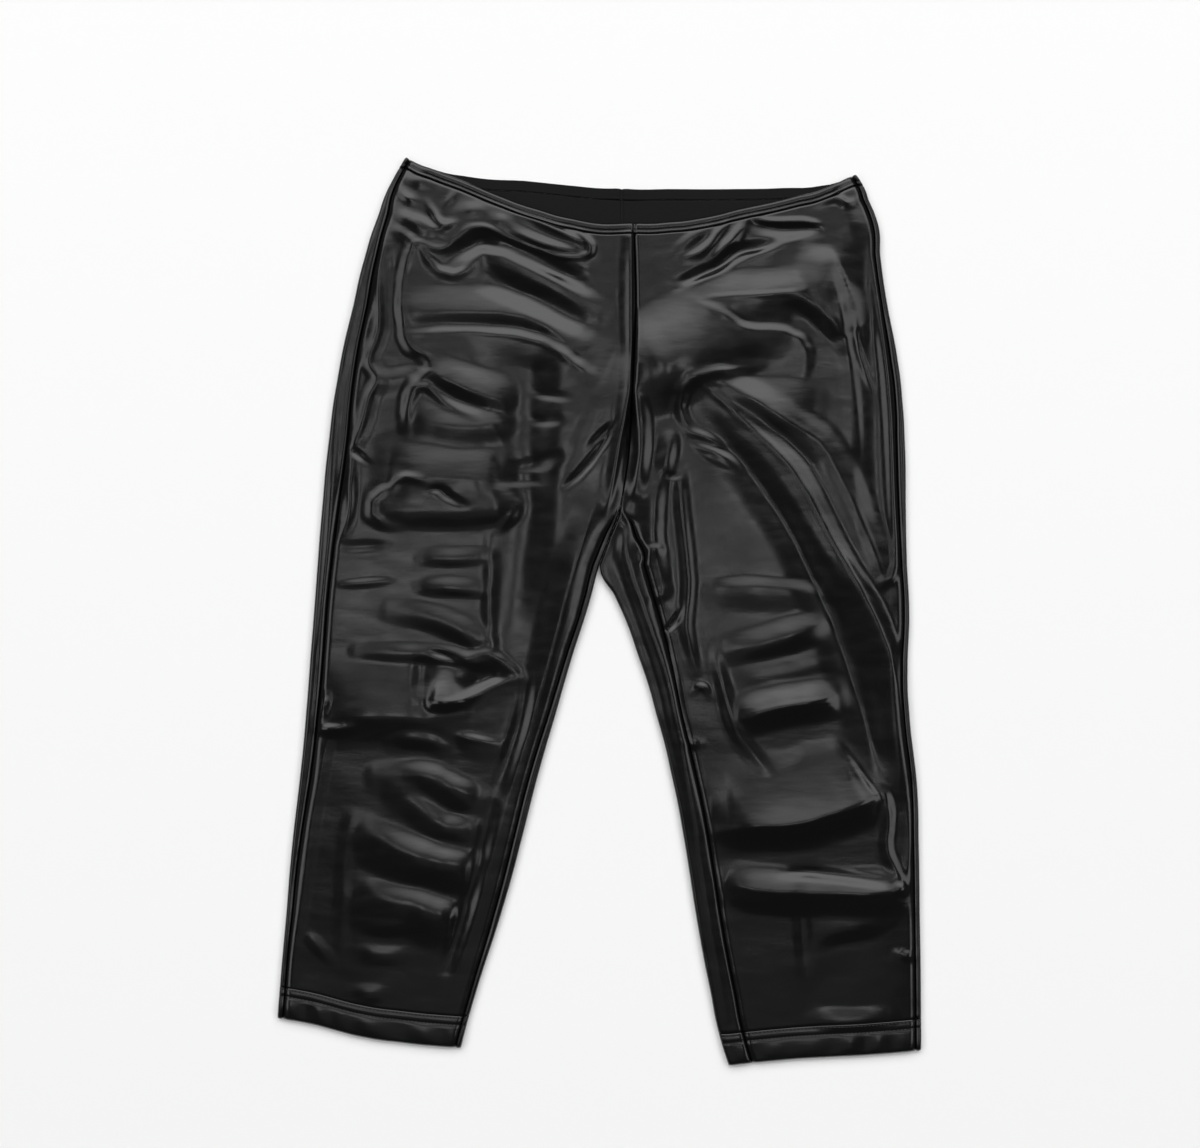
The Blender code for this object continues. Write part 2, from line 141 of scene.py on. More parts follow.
FOLDS_RIGHT = table(
    Fold,
    # Waist and hip
    ("waist_streak", 9, 9, .2, ((-174, 768, 0), (-165, 764, 1.2), (-148, 759, .4))),
    ("waist_hook", 6, 6, .2, ((-173, 757, .3), (-168, 748, 1), (-158, 744, .3)), .5),
    ("waist_vee", 5, 6, .2, ((-147, 741, .3), (-142, 733, 1), (-136, 724, 1.4), (-127, 724, .6)), .6),
    ("waist_vee_arm", 6, 9, .2, ((-160, 732, .2), (-150, 725, .9), (-139, 719, 1.3), (-131, 721, .5)), .4),
    ("waist_crescent", 9, 9, .1, ((-180, 735, .3), (-166, 728, 1.3), (-152, 718, 1.2), (-144, 710, .3))),
    ("waist_crescent_low", 8, 8, .1, ((-178, 722, .3), (-166, 713, 1.1), (-156, 705, .3))),
    ("waist_tick", 5, 5, .2, ((-131, 739, .3), (-127, 746, .8), (-123, 752, .3)), .4),
    ("waist_dimple", 8, 8, 0, ((-116, 735, .3), (-106, 736, 1), (-98, 737, .3))),
    ("waist_dimple_low", 8, 8, 0, ((-90, 728, .3), (-84, 726, .9), (-78, 724, .3))),
    ("waist_pleat", 8, 9, .3, ((-74, 734, .4), (-56, 727, 1.4), (-36, 718, 1.8), (-18, 709, 1)), .7),
    ("waist_pleat_low", 7, 7, .2, ((-72, 717, .3), (-54, 709, 1.2), (-38, 704, 1.2), (-22, 701, .4)), .4),
    ("hip_hook", 9, 6, .3, ((-11, 697, .8), (-8, 702, 1.2), (-11, 710, 1.2), (-19, 718, .4)), .9),
    ("hip_crest", 34, 17, 0, ((-163, 699, .8), (-155, 708, 1.2), (-138, 702, 1.4), (-121, 711, 1.8),
     (-104, 721, 2), (-80, 712, 2), (-50, 700, 2), (-26, 695, 1.6), (-12, 697, .6)), 1),
    ("hip_crest_groove", 15, 9, .1, ((-135, 690, -.6), (-112, 703, -2.4), (-90, 705, -2.8), (-68, 697, -2.8),
     (-46, 687, -2.8), (-26, 677, -2), (-14, 669, -.6))),
    ("hip_second_hook", 6, 9, .2, ((-153, 702, .3), (-143, 689, 1), (-132, 682, 1.1), (-120, 682, 1.1),
     (-110, 691, .8), (-104, 699, .3)), 0.5),
    ("hip_second", 12, 24, .1, ((-106, 697, .5), (-92, 701, 1.8), (-78, 696, 2.3), (-58, 686, 2.5),
     (-38, 674, 2.5), (-18, 662, 1.9), (2, 652, .6))),
    ("hip_second_groove", 16, 14, 0, ((-100, 676, -.6), (-84, 670, -2.4), (-64, 661, -2.8), (-44, 652, -2.8),
     (-26, 643, -2), (-12, 636, -.6))),
    ("hip_band", 25, 15, .3, ((-167, 647, .8), (-145, 648, 2.3), (-100, 648, 3.2), (-76, 646, 3.2),
     (-56, 641, 3.1), (-39, 631, 2.6), (-26, 619, 1.9), (-18, 609, .6))),
    ("hip_fourth", 9, 30, .15, ((-160, 629, .6), (-125, 631, 1.6), (-90, 629, 2.2), (-62, 625, 2.6),
     (-40, 616, 2.6), (-25, 605, 2.2), (-12, 596, .8)), .5),
    ("hip_side", 40, 9, .1, ((-160, 706, .8), (-165, 690, 1.6), (-169, 664, 1.8), (-168, 640, 1.8),
     (-164, 621, 1.8), (-152, 612, 1.8), (-145, 604, 1.8), (-150, 592, 1.6), (-160, 585, 1.6),
     (-165, 570, 1.4), (-166, 554, .5)), 0.5),
    ("side_contour", 12, 9, .1, ((-184, 722, .5), (-187, 700, 1.2), (-190, 675, 1.4), (-189, 645, 1.4),
     (-192, 625, 1.4), (-198, 606, 1.4), (-191, 592, 1.2), (-198, 576, 1.4), (-203, 556, 1.4),
     (-210, 536, .6)), .8),
    ("side_wedge", 12, 14, .1, ((-193, 588, .4), (-175, 590, 1.2), (-155, 597, .6))),
    ("hip_shelf", 24, 12, .1, ((-148, 598, 1), (-128, 588, 3.2), (-104, 578, 3.6), (-82, 572, 1.6)), .3),
    ("hip_swell", 26, 20, .3, ((-160, 553, .8), (-142, 552, 2.8), (-116, 549, 3.8), (-94, 551, 3.2),
     (-84, 553, 1))),
    ("hip_swell_rim", 7, 7, .1, ((-165, 556, .3), (-161, 575, .8), (-152, 584, 1), (-142, 579, 1),
     (-128, 568, .8), (-108, 559, .3)), .7),
    ("centre_swell", 48, 90, 0, ((-24, 592, .3), (-8, 583, 1.8), (8, 577, 3), (27, 575, 3.6))),
    ("centre_lip", 3.5, 13, 1, ((27, 728, 1), (27, 700, 2.4), (27, 650, 3), (26.5, 600, 3), (23, 565, 3),
     (17, 535, 2.4), (11, 500, 2), (6, 480, .6))),
    ("inner_slope", 56, 34, 0, ((-20, 640, .4), (-25, 612, 1.8), (-28, 580, 3), (-29, 540, 3.3),
     (-29, 500, 3.3), (-31, 465, 3), (-36, 430, 2.4), (-44, 390, 1.2), (-52, 360, .3))),
    # Thigh
    ("thigh_field_top", 46, 26, .3, ((-180, 508, 1), (-156, 506, 4.4), (-120, 504, 5), (-98, 504, 4),
     (-86, 505, 1))),
    ("thigh_puff", 26, 20, .1, ((-194, 480, 1.2), (-178, 479, 3), (-145, 478, 3.7), (-105, 479, 3.7),
     (-84, 481, 3), (-73, 483, 1))),
    ("thigh_puff_end", 7, 8, .1, ((-178, 498, .3), (-190, 491, .8), (-195, 480, 1), (-190, 469, .8),
     (-174, 462, .3)), 0.4),
    ("thigh_puff_top", 5, 6, .1, ((-178, 496, .3), (-172, 504, .8), (-159, 505, .8), (-146, 500, .2)), 0.3),
    ("thigh_pinch", 4, 4, .5, ((-149, 493, 0), (-139, 496, -2), (-131, 490, -2.6), (-118, 483, -.6))),
    ("thigh_puff_tip", 6, 5, .1, ((-75, 488, .3), (-72, 480, .8), (-79, 469, .8), (-87, 461, .3)), 0.3),
    ("ripple_1", 12, 8, .1, ((-152, 436, .4), (-138, 436, 1.2), (-118, 436, 1.4), (-98, 438, .6))),
    ("ripple_2", 12, 8, .1, ((-154, 411, .4), (-140, 411, 1.3), (-120, 410, 1.6), (-101, 408, .6))),
    ("ripple_3", 16, 14, .1, ((-180, 391, .5), (-164, 389, 1.2), (-146, 385, 1.9), (-128, 379, 2.3),
     (-110, 369, 2.3), (-98, 360, .8))),
    ("ripple_4", 12, 9, .1, ((-208, 356, .5), (-176, 355, 1.4), (-140, 353, 1.9), (-112, 349, 1.9),
     (-97, 344, .6))),
    ("ripple_side_1", 6, 7, .2, ((-222, 446, -.3), (-205, 447, -1), (-184, 448, -.3))),
    ("ripple_side_2", 5, 5, .1, ((-222, 414, .3), (-205, 415, .7), (-182, 417, .3)), .4),
    ("side_notch", 4, 4, .3, ((-212, 530, -.6), (-208, 526, -1.8), (-202, 521, -.6))),
    ("side_line", 9, 7, .1, ((-212, 524, .5), (-214, 500, 1.3), (-215, 478, 1.3), (-220, 458, .5)), .9),
    ("inner_crease_1", 5, 4, .4, ((-27, 500, -.8), (-14, 512, -2), (0, 530, -2), (10, 547, -.4))),
    ("inner_crease_2", 4, 4, .3, ((-8, 533, -.3), (2, 543, -1.6), (10, 551, -.4))),
    ("inner_trough", 34, 22, 0, ((-70, 610, -.3), (-67, 580, -1.2), (-66, 540, -1.5), (-67, 480, -1.6),
     (-71, 420, -1.6), (-74, 370, -.5))),
    ("inner_groove_1", 6, 6, .2, ((-58, 579, -.2), (-44, 577, -1), (-28, 575, -.3))),
    ("inner_groove_2", 6, 7, .2, ((-60, 556, -.2), (-45, 555, -1), (-30, 557, -.3))),
    ("inner_groove_3", 8, 12, .2, ((-80, 513, -.2), (-60, 517, -1.3), (-42, 523, -1.1), (-32, 530, -.3))),
    ("inner_groove_4", 6, 7, .2, ((-84, 502, -.2), (-64, 504, -.8), (-44, 503, -.2))),
    ("thigh_line", 9, 7, .1, ((-95, 458, .3), (-94, 420, .9), (-95, 385, .9), (-90, 352, .3)), 0.3),
    ("inner_ridge", 16, 22, .5, ((0, 492, .4), (-8, 470, 2), (-16, 445, 3), (-25, 415, 3.4), (-36, 375, 3),
     (-46, 338, 2.6), (-58, 300, 1.9), (-72, 250, 1.4), (-86, 200, 1.3), (-103, 140, 1), (-116, 90, .3))),
    # The strip of the back beside the side seam
    ("side_strip", 6, 6, .8, ((-183, 744, 1), (-190, 722, 2), (-200, 688, 2.4), (-212, 640, 2.6),
     (-220, 600, 2.6), (-226, 565, 2.6), (-232, 480, 2.6), (-237, 420, 2.4), (-244, 350, 2), (-250, 290, 1.6),
     (-258, 230, .8))),
    # Knee
    ("knee_puff", 34, 10, .4, ((-148, 315, 1), (-138, 313, 5), (-127, 314, 5), (-116, 317, 1.6))),
    ("knee_ridge", 6, 16, .4, ((-138, 311, .3), (-124, 312, 1), (-112, 316, 1), (-98, 323, 1), (-84, 329, 1),
     (-68, 333, .3)), 0.3),
    ("knee_wedge", 16, 8, .2, ((-122, 322, -.4), (-110, 327, -2), (-96, 334, -2.4), (-84, 339, -.6))),
    ("knee_fold", 8, 14, .2, ((-118, 348, .3), (-104, 354, 1), (-92, 352, 1.3), (-80, 344, 1.3),
     (-69, 335, .4)), .5),
    ("knee_pinch", 4, 4, .5, ((-147, 357, 0), (-140, 355, -2), (-130, 352, -2.4), (-121, 349, -.4))),
    ("knee_furrow", 13, 11, 0, ((-151, 354, -.4), (-152, 340, -1.6), (-152, 322, -1.6), (-151, 306, -.5))),
    ("knee_step", 60, 30, .5, ((-242, 301, 1.4), (-212, 301, 5), (-180, 301, 5.4), (-150, 300, 4.6),
     (-126, 301, 3), (-108, 303, .8))),
    ("knee_patch", 7, 9, .2, ((-243, 290, .6), (-230, 290, 2.2), (-216, 291, .8)), .5),
    ("knee_glint", 6, 20, .2, ((-124, 284, .4), (-108, 281, 1.8), (-90, 277, .8)), .4),
    ("knee_arc", 8, 12, .1, ((-178, 279, .4), (-156, 281, 1.6), (-138, 276, 1.4), (-128, 270, .4))),
    ("knee_knob", 6, 6, .3, ((-237, 306, 1), (-236, 311, 2), (-234, 318, .6))),
    # Calf
    ("calf_1", 15, 20, .1, ((-192, 250, .6), (-168, 250, 1.8), (-148, 249, 3.2), (-134, 243, 3.4),
     (-120, 236, 3.4), (-104, 231, 1))),
    ("calf_2", 14, 20, .1, ((-176, 236, .6), (-156, 224, 1.8), (-140, 211, 2.4), (-126, 205, 2.8),
     (-110, 205, .8))),
    ("calf_3", 20, 30, .1, ((-210, 205, .6), (-190, 194, 2.6), (-166, 184, 4.6), (-146, 178, 5),
     (-126, 173, 4.6), (-110, 171, 1.4))),
    ("calf_4", 19, 34, .1, ((-208, 154, .6), (-188, 143, 2.8), (-162, 138, 4.2), (-146, 133, 5),
     (-132, 128, 4), (-124, 126, .8))),
    ("calf_5", 9, 10, .1, ((-206, 120, .2), (-186, 119, .8), (-167, 120, .2))),
    ("calf_6", 10, 12, .1, ((-206, 97, .2), (-188, 95, 1), (-168, 96, .3))),
    ("calf_7", 10, 12, .1, ((-212, 63, .2), (-198, 62, .9), (-184, 64, .2))),
    ("calf_corner", 8, 8, .2, ((-253, 114, .2), (-243, 104, .7), (-232, 93, .2))),
    ("calf_groove_1", 10, 10, 0, ((-62, 336, -.4), (-66, 305, -1.7), (-75, 273, -1.7), (-86, 240, -.6))),
    ("calf_groove_2", 10, 10, 0, ((-93, 222, -.4), (-104, 176, -1.6), (-113, 142, -1.8), (-122, 112, -1.8),
     (-132, 84, -.5))),
    ("calf_edge", 9, 9, .7, ((-232, 294, .3), (-239, 255, 1.1), (-245, 222, 1), (-250, 190, 1),
     (-255, 150, 1), (-262, 105, .3))),
    ("calf_streak", 9, 9, .6, ((-214, 215, .1), (-219, 180, .4), (-221, 140, .4), (-222, 100, .1))),
)
FOLDS_LEFT = table(
    Fold,
    # Waist and hip
    ("waist_line", 7, 8, .1, ((66, 700, .3), (78, 711, 1.2), (92, 719, .5))),
    ("waist_line_1", 6, 8, .2, ((75, 695, .4), (90, 702, 1.4), (101, 715, 1.4), (110, 726, .4)), .7),
    ("waist_line_2", 8, 8, .2, ((98, 691, .6), (106, 702, 2), (116, 713, 2), (124, 725, .6)), .6),
    ("waist_pinch", 9, 6, .3, ((69, 671, -.6), (84, 679, -2), (97, 685, -2.4), (108, 692, -2.8),
     (120, 700, -2.8), (134, 703, -2), (148, 706, -.6))),
    ("pinch_lip", 7, 26, .1, ((60, 670, .3), (76, 672, .7), (92, 677, .9), (104, 681, 1), (116, 687, 1),
     (128, 693, 1), (148, 702, 1), (168, 710, .7), (190, 717, .3)), .3),
    ("waist_pocket", 5, 4, .2, ((133, 731, .3), (143, 726, .9), (165, 726, 1), (180, 725, .9),
     (190, 721, .3)), .7),
    ("waist_pocket_groove", 6, 10, .2, ((135, 724, -.6), (150, 720, -2), (170, 719, -2), (190, 719, -.6))),
    ("side_squiggle", 5, 7, .2, ((189, 742, .3), (203, 746, .9), (213, 742, .9), (223, 746, .3)), .5),
    ("side_blob", 20, 50, 0, ((168, 692, .8), (183, 689, 3), (198, 688, 3), (207, 690, .8))),
    ("hip_ridge_line", 26, 24, .1, ((88, 660, .4), (106, 661, 2.5), (125, 662, 3.4), (150, 663, 3.4),
     (168, 665, 2), (178, 668, .3)), .5),
    ("hip_ridge", 40, 14, .1, ((150, 664, .8), (168, 662, 2.7), (182, 655, 3.9), (192, 647, 4.4),
     (202, 637, 4.4), (209, 626, 1.6)), .4),
    ("hip_trough", 7, 30, .1, ((84, 656, .3), (100, 649, .8), (115, 640, 1.1), (128, 633, 1.2),
     (150, 632, 1.2), (165, 628, 1.2), (175, 620, 1.1), (178, 606, .8), (174, 590, .2)), .3),
    ("hip_flat", 58, 42, 0, ((30, 588, 3.9), (48, 597, 7.6), (66, 607, 8.2), (90, 619, 7), (116, 627, 4.6),
     (145, 631, 2.2), (166, 632, .5))),
    ("hip_low", 24, 30, .1, ((100, 578, .3), (120, 575, 1.4), (146, 572, 1.9), (168, 570, 1.9),
     (184, 568, .6))),
    ("diagonal_hook", 9, 8, .1, ((78, 546, .3), (71, 560, 1.2), (71, 574, 1.3), (77, 587, 1.3),
     (90, 594, 1.2), (112, 598, 1), (138, 601, .3)), .6),
    ("side_trough", 14, 22, 0, ((223, 712, -.4), (227, 680, -1.6), (231, 640, -2.2), (235, 600, -2.4),
     (237, 560, -2.4), (238, 520, -2.2), (240, 480, -1.8), (243, 445, -.5))),
    ("side_line_left", 7, 12, .2, ((196, 694, .1), (204, 660, .5), (212, 625, .5), (218, 590, .4),
     (222, 555, .4), (224, 520, .1)), .3),
    ("big_diagonal", 33, 30, 0, ((80, 592, .7), (104, 573, 2.5), (122, 556, 3.1), (150, 530, 3.5),
     (171, 504, 3.5), (186, 478, 3.5), (200, 452, 2.9), (214, 430, 1.9), (232, 406, 1), (245, 396, .4)), 1.2),
    ("second_diagonal", 20, 20, .1, ((86, 588, .4), (107, 586, 1.4), (124, 578, 2.2), (144, 565, 2.6),
     (164, 552, 2.9), (183, 541, 2.9), (193, 531, 2.7), (200, 520, 2.5), (209, 503, 2.4), (218, 485, 2.4),
     (228, 463, 2.4), (236, 443, 2.2), (244, 421, .9)), .5),
    ("diagonal_groove", 14, 15, .9, ((100, 580, -.3), (124, 567, -1.6), (148, 549, -2.3), (170, 529, -2.3),
     (186, 506, -1.9), (200, 480, -1.5), (214, 450, -.5))),
    ("seam_line", 8, 4, .3, ((246, 416, .5), (254, 424, 1.4), (256, 445, 1.5), (254, 480, 1.5),
     (252, 530, 1.5), (249, 575, 1.5), (244, 630, 1.5), (239, 680, 1.5), (236, 716, .5))),
    ("side_crease", 4, 4, .3, ((219, 641, -.3), (222, 620, -1.2), (228, 600, -1.2), (236, 578, -.4))),
    ("long_valley", 20, 24, .9, ((98, 554, -.4), (120, 522, -1.8), (143, 491, -2.5), (163, 460, -2.8),
     (178, 430, -2.8), (191, 400, -2.6), (204, 370, -2.5), (217, 332, -2.4), (228, 298, -2),
     (240, 256, -.5))),
    ("valley_wall", 14, 32, .5, ((195, 460, .6), (205, 442, 2.4), (216, 422, 4.6), (229, 400, 5.8),
     (243, 370, 6.2), (252, 342, 6.2), (258, 316, 6), (262, 288, 5.4), (265, 262, 4), (268, 240, 1))),
    # Thigh
    ("thigh_crest", 8, 10, .9, ((69, 513, .4), (70, 495, 1.8), (72, 470, 2.2), (76, 432, 2.2), (77, 408, 2.2),
     (75, 385, 2), (77, 365, 1.6), (83, 340, .5))),
    ("thigh_field", 12, 24, .2, ((98, 409, .5), (120, 411, 1.7), (150, 410, 1.7), (178, 406, 1.2),
     (198, 401, .3))),
    ("thigh_ripple", 20, 16, .2, ((106, 356, .6), (126, 360, 2.4), (150, 366, 3.3), (174, 373, 3.3),
     (197, 383, .8))),
    ("thigh_ripple_low", 14, 14, .1, ((118, 333, .3), (150, 337, .8), (182, 344, .7), (198, 348, .2))),
    ("streak_1", 6, 5, .2, ((78, 545, .4), (90, 541, 1), (104, 534, .4)), .5),
    ("streak_2", 6, 5, .2, ((84, 533, .4), (102, 526, 1.2), (122, 514, .4)), .6),
    ("streak_3", 4, 4, .2, ((88, 527, .3), (102, 520, .8), (118, 512, .3)), .4),
    ("pucker_1", 10, 14, .5, ((61, 548, .3), (60, 532, 2.4), (58, 518, 2.4), (60, 508, .6))),
    ("pucker_1_knot", 4, 4, .3, ((56, 510, -.2), (63, 507, -1.2), (70, 511, -.2))),
    ("inner_band", 12, 20, .2, ((53, 514, .4), (49, 495, 2.4), (47, 472, 3), (47, 450, 3), (51, 425, 2),
     (55, 400, .6))),
    ("inner_nick", 4, 4, .5, ((56, 373, -.4), (64, 381, -2.2), (70, 392, -.5))),
    ("pucker_2", 7, 9, .2, ((37, 430, .3), (42, 440, 1), (49, 444, 1), (57, 441, .3)), .2),
    ("pucker_3", 7, 7, .2, ((44, 402, .3), (51, 404, 1), (59, 409, .3))),
    # Knee and calf
    ("knee_lens", 24, 20, .4, ((118, 297, .7), (130, 301, 4.4), (148, 307, 6), (170, 311, 6.2),
     (190, 314, 4.9), (204, 318, 1.2)), .3),
    ("knee_line", 10, 10, .7, ((99, 352, .4), (105, 332, 1.5), (110, 312, 1.7), (117, 290, 1.7),
     (126, 276, 1.4), (143, 255, .4))),
    ("knee_pucker", 5, 5, .2, ((82, 323, .3), (88, 326, 1.2), (94, 320, .3)), .4),
    ("knee_spot", 6, 6, .2, ((75, 278, .4), (80, 277, 1.4), (86, 277, .4))),
    ("calf_swell", 68, 26, .8, ((98, 202, 1), (114, 204, 5), (138, 207, 10), (168, 209, 11.6),
     (194, 216, 11.6), (216, 223, 10), (232, 230, 6), (240, 235, 1.6))),
    ("calf_contour", 8, 11, .4, ((241, 238, .5), (247, 226, 1.8), (248, 205, 1.8), (247, 190, 1.8),
     (252, 174, 1.8), (262, 157, .6)), .3),
    ("calf_lens", 24, 24, .35, ((108, 158, .9), (124, 154, 4), (145, 151, 5.8), (170, 150, 6.3),
     (205, 149, 6.3), (240, 149, 5.8), (264, 152, 1.8)), .3),
    ("calf_lens_hollow", 7, 6, .1, ((160, 166, -.5), (178, 166, -2), (198, 164, -1.6), (222, 161, -1.6),
     (250, 157, -.5))),
    ("calf_knuckle", 8, 8, .3, ((252, 158, .6), (259, 153, 2.2), (266, 152, .6))),
    ("calf_wedge", 28, 16, .1, ((182, 112, .6), (205, 118, 2.4), (235, 126, 2), (253, 141, .6))),
    ("calf_crease", 9, 9, 0, ((172, 152, -.3), (174, 130, -1), (176, 105, -1), (177, 84, -.3))),
    ("calf_spot", 7, 7, .2, ((258, 96, .6), (267, 95, 2.2), (273, 96, .8))),
    ("hem_swell", 14, 10, .1, ((184, 40, .4), (215, 38, 2.2), (249, 42, .6))),
    ("calf_side", 6, 5, .6, ((265, 168, .4), (268, 190, 1.4), (270, 226, .4))),
    # The strip of the back between the leg's inner edge and the inseam
    ("strip_ridge", 9, 12, .2, ((14, 486, .6), (20, 460, 2), (27, 430, 2.6), (36, 402, 2.6), (47, 370, 2.6),
     (58, 336, 2.6), (66, 300, 2.4), (73, 262, 2), (80, 215, 1.6), (87, 165, 1.4), (96, 105, 1.2),
     (106, 40, .6))),
    # Beside the centre seam
    ("crotch_lip", 12, 8, .2, ((31, 600, .6), (34, 566, 2), (36, 540, 3), (34, 515, 3), (31, 494, 1.4))),
)

# Grids
FRONT_COLUMNS = 150
FRONT_ROWS = 620
BACK_ROWS = 360
GROUND_COLUMNS = 24
ROLL_STEPS = 10        # a rolled edge turns half round in these steps
STRIP_STEPS = 8        # from the top of the roll to the seam
HEM_ROWS = 22
WAIST_ROWS = 10
NARROWING = 0.45       # how much closer than the mean the columns are at the seams
UNROLL_ROOM = 0.5      # more room between the backs where they unroll
SMALL_TURN = 0.001     # radians: what is left of the turn where the cloth is flat
HEM_FADE = 180.0       # above the hem, the rows bend less and less over this length
WAIST_FADE = 210.0     # and so below the waist
ROW_ROUNDS = 4         # a bent row's place is worked out again this many times

# Folds
PATH_STEPS = 6         # from one point of a fold's path to the next
FOLD_END = 7.0         # a fold fades out over this length beyond its path's ends
FOLD_END_SHARE = 0.3   # and over this share of its wider reach besides
CREST_ROUND = 0.7      # a keen crest is rounded over this length
RIM_REACH = 3.4        # from a rim's middle to its foot

# Seams
STRIP_DIP = 1.3        # how deep the strips of the back dip to the seams on top, and over which width
STRIP_REACH = 3.5
SIDE_DIP = 2.6         # how deep the fronts dip to them
SIDE_REACH = 6.0
CENTRE_DIP = 1.6       # how deep they dip to each other at the centre seam
CENTRE_REACH = 4.0
OPEN_DIP = 9.0         # and where the seam opens at the crotch
OPEN_REACH = 9.5

ALLOWANCE = 8.0        # the seam allowances inside the centre back, on each side of the seam
ALLOWANCE_RISE = 0.7
ALLOWANCE_EDGE = 1.5   # they thin out over this width at the outer edge
ALLOWANCE_NEAR = (1.0, 2.5)  # they start so far from the seam
ALLOWANCE_START = (CROTCH + UNROLL, CROTCH + 3 * UNROLL)  # and here up the leg
LIFT = 0.02            # the cloth's outer face above the ground
ON_TOP = 2.0           # above this height seams and stitches shape the cloth; the underside stays flat
SOFT_PASSES = 2        # how often the heights of a front are averaged

# Stitches
STITCH = 2.6           # length of one stitch
STITCH_STEP = 3.3
STITCH_RADIUS = 0.28
HEM_STITCHES = (19.5, 25.5)  # the hem's two rows, above its edge
CASING_STITCHES = 2.6  # the casing's row, above its lower border
STITCH_SIDES = 6
# A ring of a stitch: where along it, in stitch lengths, and which share of the radius it has
Ring = namedtuple("Ring", "along share")
STITCH_RINGS = table(Ring, (-0.5, 0.25), (-0.42, 0.75), (-0.25, 1.0), (0.25, 1.0), (0.42, 0.75), (0.5, 0.25))

# A dent along a line on the cloth: how deep and how wide
Dent = namedtuple("Dent", "depth width")
HEM_EDGE = Dent(1.2, 1.0)
HEM_ROW = Dent(0.5, 1.1)
CASING_ROW = Dent(0.7, 1.0)
CASING_BORDER = Dent(0.8, 0.8)
PANEL_AT_HEM = Dent(0.7, 1.2)
PANEL_AT_CASING = Dent(0.9, 1.5)

# The puffing of the hem: its mean, how uneven it is, and how long its bulges are, which drift and swell
HEM_RISE = 0.3
HEM_PUFF = 0.6
HEM_UNEVEN = 0.5
BULGE = 5.3
BULGE_DRIFT = 1.6
DRIFT_LENGTH = 19.0
SWELL_LENGTH = 31.0
SWELL_START = 0.8

# The casing: its rise, and how far it comes down over its rounded top edge
CASING_RISE = 0.5
CASING_ROUND = 2.0
CASING_DROP = 1.3

# Looks: the values of the materials' sockets. A colour is red, green, blue and opacity.
COATING_LOOK = {"Base Color": (0.0024, 0.0024, 0.0025, 1.0), "IOR": 1.43}
LINING_LOOK = {"Base Color": (0.0034, 0.0034, 0.0036, 1.0), "Roughness": 0.8, "Specular IOR Level": 0.16}
THREAD_LOOK = {"Base Color": (0.012, 0.012, 0.012, 1.0), "Roughness": 0.45}
PAPER_LOOK = {"Base Color": (0.825, 0.825, 0.825, 1.0), "Roughness": 0.9, "Specular IOR Level": 0.1}
GLOSS = {"From Min": 0.3, "From Max": 0.7, "To Min": 0.16, "To Max": 0.24}    # roughness, from the mottle

# Noise over a material, per metre, stretched along the axes, and the bumps that it makes
Wave = namedtuple("Wave", "scale detail stretch depth strength")
DRAPE = Wave(7.0, 1.0, (1.5, 0.6, 1.0), 0.0025, 1.0)
SLACK = Wave(14.0, 1.5, (0.9, 2.0, 1.0), 0.0012, 1.0)
MOTTLE = Wave(38.0, 3.0, (1.0, 3.2, 1.0), 0.001, 0.14)
STREAKS = Wave(45.0, 2.0, (1.0, 7.0, 1.0), 0.0003, 0.06)
GRAIN = Wave(1600.0, 2.0, (1.0, 1.0, 1.0), 0.00004, 0.3)
KNIT = Wave(900.0, 2.0, (1.0, 2.0, 1.0), 0.0002, 0.6)
TWIST = Wave(2500.0, 1.0, (1.0, 1.0, 1.0), 0.0001, 0.5)
COATING = (DRAPE, SLACK, MOTTLE, STREAKS, GRAIN)

# The stage, in metres
FLOOR = 30.0
FLOOR_DROP = 0.0001    # the floor lies this far below the cloth
SENSOR = 36.0
CAMERA_HEIGHT = 1.55
VIEW_WIDTH = 1.032
VIEW_X, VIEW_Y = 0.0006, 0.032
LIGHT_HEIGHT = 12.0
AMBIENT = 0.08
# A softbox: where its middle hangs, its size and its radiance
Softbox = namedtuple("Softbox", "name x y width depth radiance")
SOFTBOXES = table(
    Softbox,
    ("key", 0.0, 15.4, 30.0, 18.0, 3.9),
    ("key_edge", 0.0, 5.15, 24.0, 2.5, 2.2),
    ("overhead_edge", 0.0, 3.35, 6.0, 1.1, 1.0),
    ("overhead_high", 0.0, 2.05, 5.2, 1.5, 0.42),
    ("overhead_right", -1.5, 0.1, 1.3, 2.4, 3.0),
    ("overhead", 0.0, 0.1, 1.7, 2.4, 0.3),
    ("overhead_left", 1.4, 0.1, 1.1, 2.4, 3.6),
    ("overhead_low", 0.0, -3.1, 4.6, 4.4, 0.2),
    ("right", -13.0, -0.7, 10.0, 9.0, 2.4),
    ("left", 13.0, -0.7, 10.0, 9.0, 2.4),
)

Leg = namedtuple("Leg", "name sign side inner hem folds")
RIGHT = Leg("right", -1.0, RIGHT_SIDE, RIGHT_INNER, HEM_RIGHT, FOLDS_RIGHT)
LEFT = Leg("left", 1.0, LEFT_SIDE, LEFT_INNER, HEM_LEFT, FOLDS_LEFT)


def smoothstep(low, high, value):
    t = np.clip((value - low) / (high - low), 0.0, 1.0)
    return t * t * (3.0 - 2.0 * t)


def smooth_curve(knots, values, at):
    """A smooth curve through the values: cubic pieces whose slopes are the mean of their neighbours'."""
    knots, values = np.asarray(knots, float), np.asarray(values, float)
    slopes = np.gradient(values, knots)
    at = np.clip(np.asarray(at, float), knots[0], knots[-1])
    i = np.clip(np.searchsorted(knots, at) - 1, 0, len(knots) - 2)
    span = knots[i + 1] - knots[i]
    t = (at - knots[i]) / span
    start = values[i] + t * span * slopes[i]
    end = values[i + 1] - (1.0 - t) * span * slopes[i + 1]
    return start + (end - start) * t * t * (3.0 - 2.0 * t)


